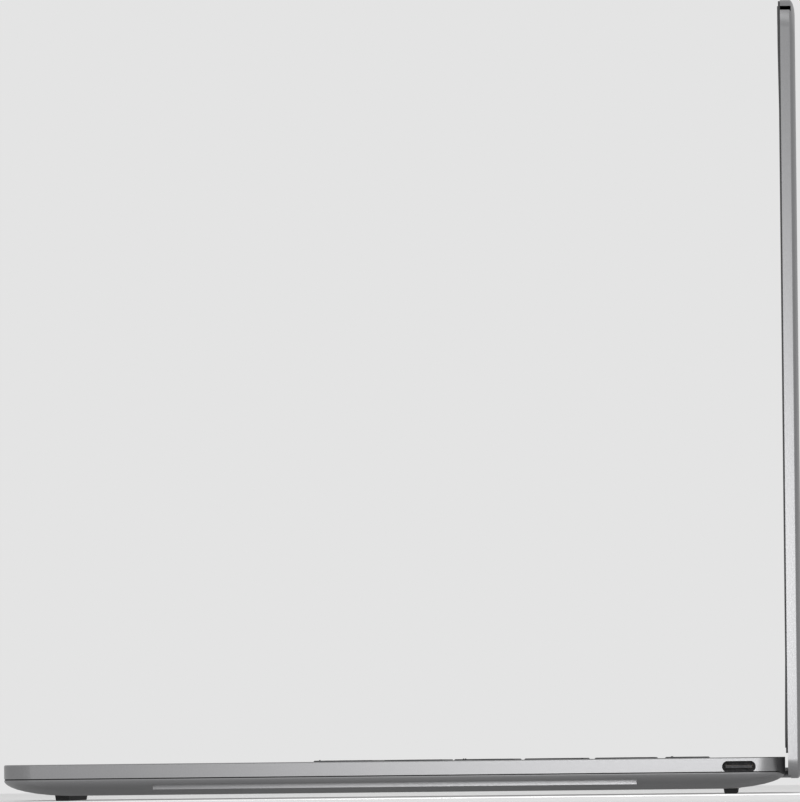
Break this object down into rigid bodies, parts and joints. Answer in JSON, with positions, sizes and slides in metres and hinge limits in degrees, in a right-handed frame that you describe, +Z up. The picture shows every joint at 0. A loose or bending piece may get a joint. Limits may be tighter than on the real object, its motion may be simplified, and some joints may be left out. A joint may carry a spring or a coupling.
{
  "type": "laptop computer",
  "caption": "Slim clamshell laptop open at a right angle, with a friction-hinged lid, keyboard, touchpad and internal parts.",
  "frame": {"origin": "on the table under the laptop, midway across its width and midway from its front edge to the back of its open lid", "axes": "+X to the right of the person typing, along the hinge; +Y from the front edge to the hinge; +Z up"},
  "size_m": [0.2954, 0.204, 0.2025],
  "materials": {
    "silver_metal": "bead-blasted satin",
    "black_keycap": "fine matt",
    "dark_trim": "matt",
    "black_rubber": "matt",
    "clear_silicone": "translucent matt",
    "display_glass": "high gloss",
    "steel": "plain steel",
    "copper": "plain copper",
    "green_board": "solder mask",
    "black_package": "matt",
    "battery_wrap": "satin film",
    "touchpad_glass": "etched satin",
    "lever_plastic": "matt"
  },
  "bodies": {
    "base": {"top_case": "silver_metal", "bottom_cover": "silver_metal", "foot_front": "black_rubber", "foot_rear": "black_rubber", "bottom_cover_screws": "steel", "rear_trim_left": "dark_trim", "rear_trim_right": "dark_trim", "keyboard_plate": "steel", "key_domes": "clear_silicone", "key_levers": "lever_plastic", "touchpad_bracket": "steel", "motherboard": "green_board", "processor": "black_package", "heat_pipe": "copper", "fin_stack": "steel", "fan_housing": "black_package", "battery_pack": "battery_wrap", "storage_drive": "black_package", "wireless_card": "black_package", "speaker_left": "black_package", "speaker_right": "black_package", "usb_port_right": "steel", "usb_port_left": "steel", "hinge_bracket_left": "steel", "hinge_bracket_right": "steel", "hinge_screws_base": "steel"},
    "lid": {"hinge_pins": "steel", "hinge_leaf_left": "steel", "hinge_leaf_right": "steel", "hinge_screws_lid": "steel", "clutch_cover": "silver_metal", "lid_cover": "silver_metal", "display_panel": "black_package", "display_glass": "display_glass", "display_gasket": "black_rubber", "camera_module": "black_package"},
    "touchpad": {"touchpad_plate": "touchpad_glass"},
    "fan_rotor": {"fan_rotor": "black_package"},
    "keys_modifiers_left": {"keys_modifiers_left": "black_keycap"},
    "key_space": {"key_space": "black_keycap"},
    "keys_modifiers_right": {"keys_modifiers_right": "black_keycap"},
    "key_arrow_left": {"key_arrow_left": "black_keycap"},
    "key_arrow_up": {"key_arrow_up": "black_keycap"},
    "key_arrow_down": {"key_arrow_down": "black_keycap"},
    "key_arrow_right": {"key_arrow_right": "black_keycap"},
    "key_shift_left": {"key_shift_left": "black_keycap"},
    "keys_lower_letters": {"keys_lower_letters": "black_keycap"},
    "key_shift_right": {"key_shift_right": "black_keycap"},
    "key_caps_lock": {"key_caps_lock": "black_keycap"},
    "keys_home_letters": {"keys_home_letters": "black_keycap"},
    "key_enter": {"key_enter": "black_keycap"},
    "key_tab": {"key_tab": "black_keycap"},
    "keys_upper_letters": {"keys_upper_letters": "black_keycap"},
    "key_backslash": {"key_backslash": "black_keycap"},
    "keys_numbers": {"keys_numbers": "black_keycap"},
    "key_backspace": {"key_backspace": "black_keycap"},
    "key_escape": {"key_escape": "black_keycap"},
    "keys_function": {"keys_function": "black_keycap"},
    "key_delete": {"key_delete": "black_keycap"},
    "power_button": {"power_button": "black_keycap"}
  },
  "joints": [
    {"name": "lid_hinge", "type": "hinge", "parent": "base", "child": "lid", "pos_m": [0, 0.09433, 0.0062], "axis": [1, 0, 0], "range_deg": [-45, 90]},
    {"name": "touchpad_press", "type": "hinge", "parent": "base", "child": "touchpad", "pos_m": [0, -0.02947, 0.00875], "axis": [1, 0, 0], "range_deg": [0, 0.38], "stiffness_Nm_per_rad": 16, "springref_deg": -0.11},
    {"name": "fan_spin", "type": "hinge", "parent": "base", "child": "fan_rotor", "pos_m": [-0.072, 0.04803, 0.00425], "axis": [0, 0, 1], "continuous": true},
    {"name": "press_modifiers_left", "type": "slide", "parent": "base", "child": "keys_modifiers_left", "axis": [0, 0, -1], "range_m": [0, 0.001], "stiffness_N_per_m": 1200, "springref_m": -0.0003, "deforming": ["key_domes", "key_levers"]},
    {"name": "press_space", "type": "slide", "parent": "base", "child": "key_space", "axis": [0, 0, -1], "range_m": [0, 0.001], "stiffness_N_per_m": 300, "springref_m": -0.0003, "deforming": ["key_domes", "key_levers"]},
    {"name": "press_modifiers_right", "type": "slide", "parent": "base", "child": "keys_modifiers_right", "axis": [0, 0, -1], "range_m": [0, 0.001], "stiffness_N_per_m": 600, "springref_m": -0.0003, "deforming": ["key_domes", "key_levers"]},
    {"name": "press_arrow_left", "type": "slide", "parent": "base", "child": "key_arrow_left", "axis": [0, 0, -1], "range_m": [0, 0.001], "stiffness_N_per_m": 300, "springref_m": -0.0003, "deforming": ["key_domes", "key_levers"]},
    {"name": "press_arrow_up", "type": "slide", "parent": "base", "child": "key_arrow_up", "axis": [0, 0, -1], "range_m": [0, 0.001], "stiffness_N_per_m": 300, "springref_m": -0.0003, "deforming": ["key_domes", "key_levers"]},
    {"name": "press_arrow_down", "type": "slide", "parent": "base", "child": "key_arrow_down", "axis": [0, 0, -1], "range_m": [0, 0.001], "stiffness_N_per_m": 300, "springref_m": -0.0003, "deforming": ["key_domes", "key_levers"]},
    {"name": "press_arrow_right", "type": "slide", "parent": "base", "child": "key_arrow_right", "axis": [0, 0, -1], "range_m": [0, 0.001], "stiffness_N_per_m": 300, "springref_m": -0.0003, "deforming": ["key_domes", "key_levers"]},
    {"name": "press_shift_left", "type": "slide", "parent": "base", "child": "key_shift_left", "axis": [0, 0, -1], "range_m": [0, 0.001], "stiffness_N_per_m": 300, "springref_m": -0.0003, "deforming": ["key_domes", "key_levers"]},
    {"name": "press_lower_letters", "type": "slide", "parent": "base", "child": "keys_lower_letters", "axis": [0, 0, -1], "range_m": [0, 0.001], "stiffness_N_per_m": 3000, "springref_m": -0.0003, "deforming": ["key_domes", "key_levers"]},
    {"name": "press_shift_right", "type": "slide", "parent": "base", "child": "key_shift_right", "axis": [0, 0, -1], "range_m": [0, 0.001], "stiffness_N_per_m": 300, "springref_m": -0.0003, "deforming": ["key_domes", "key_levers"]},
    {"name": "press_caps_lock", "type": "slide", "parent": "base", "child": "key_caps_lock", "axis": [0, 0, -1], "range_m": [0, 0.001], "stiffness_N_per_m": 300, "springref_m": -0.0003, "deforming": ["key_domes", "key_levers"]},
    {"name": "press_home_letters", "type": "slide", "parent": "base", "child": "keys_home_letters", "axis": [0, 0, -1], "range_m": [0, 0.001], "stiffness_N_per_m": 3300, "springref_m": -0.0003, "deforming": ["key_domes", "key_levers"]},
    {"name": "press_enter", "type": "slide", "parent": "base", "child": "key_enter", "axis": [0, 0, -1], "range_m": [0, 0.001], "stiffness_N_per_m": 300, "springref_m": -0.0003, "deforming": ["key_domes", "key_levers"]},
    {"name": "press_tab", "type": "slide", "parent": "base", "child": "key_tab", "axis": [0, 0, -1], "range_m": [0, 0.001], "stiffness_N_per_m": 300, "springref_m": -0.0003, "deforming": ["key_domes", "key_levers"]},
    {"name": "press_upper_letters", "type": "slide", "parent": "base", "child": "keys_upper_letters", "axis": [0, 0, -1], "range_m": [0, 0.001], "stiffness_N_per_m": 3600, "springref_m": -0.0003, "deforming": ["key_domes", "key_levers"]},
    {"name": "press_backslash", "type": "slide", "parent": "base", "child": "key_backslash", "axis": [0, 0, -1], "range_m": [0, 0.001], "stiffness_N_per_m": 300, "springref_m": -0.0003, "deforming": ["key_domes", "key_levers"]},
    {"name": "press_numbers", "type": "slide", "parent": "base", "child": "keys_numbers", "axis": [0, 0, -1], "range_m": [0, 0.001], "stiffness_N_per_m": 3900, "springref_m": -0.0003, "deforming": ["key_domes", "key_levers"]},
    {"name": "press_backspace", "type": "slide", "parent": "base", "child": "key_backspace", "axis": [0, 0, -1], "range_m": [0, 0.001], "stiffness_N_per_m": 300, "springref_m": -0.0003, "deforming": ["key_domes", "key_levers"]},
    {"name": "press_escape", "type": "slide", "parent": "base", "child": "key_escape", "axis": [0, 0, -1], "range_m": [0, 0.001], "stiffness_N_per_m": 300, "springref_m": -0.0003, "deforming": ["key_domes", "key_levers"]},
    {"name": "press_function", "type": "slide", "parent": "base", "child": "keys_function", "axis": [0, 0, -1], "range_m": [0, 0.001], "stiffness_N_per_m": 3600, "springref_m": -0.0003, "deforming": ["key_domes", "key_levers"]},
    {"name": "press_delete", "type": "slide", "parent": "base", "child": "key_delete", "axis": [0, 0, -1], "range_m": [0, 0.001], "stiffness_N_per_m": 300, "springref_m": -0.0003, "deforming": ["key_domes", "key_levers"]},
    {"name": "press_power_button", "type": "slide", "parent": "base", "child": "power_button", "axis": [0, 0, -1], "range_m": [0, 0.001], "stiffness_N_per_m": 300, "springref_m": -0.0003, "deforming": ["key_domes", "key_levers"]}
  ]
}
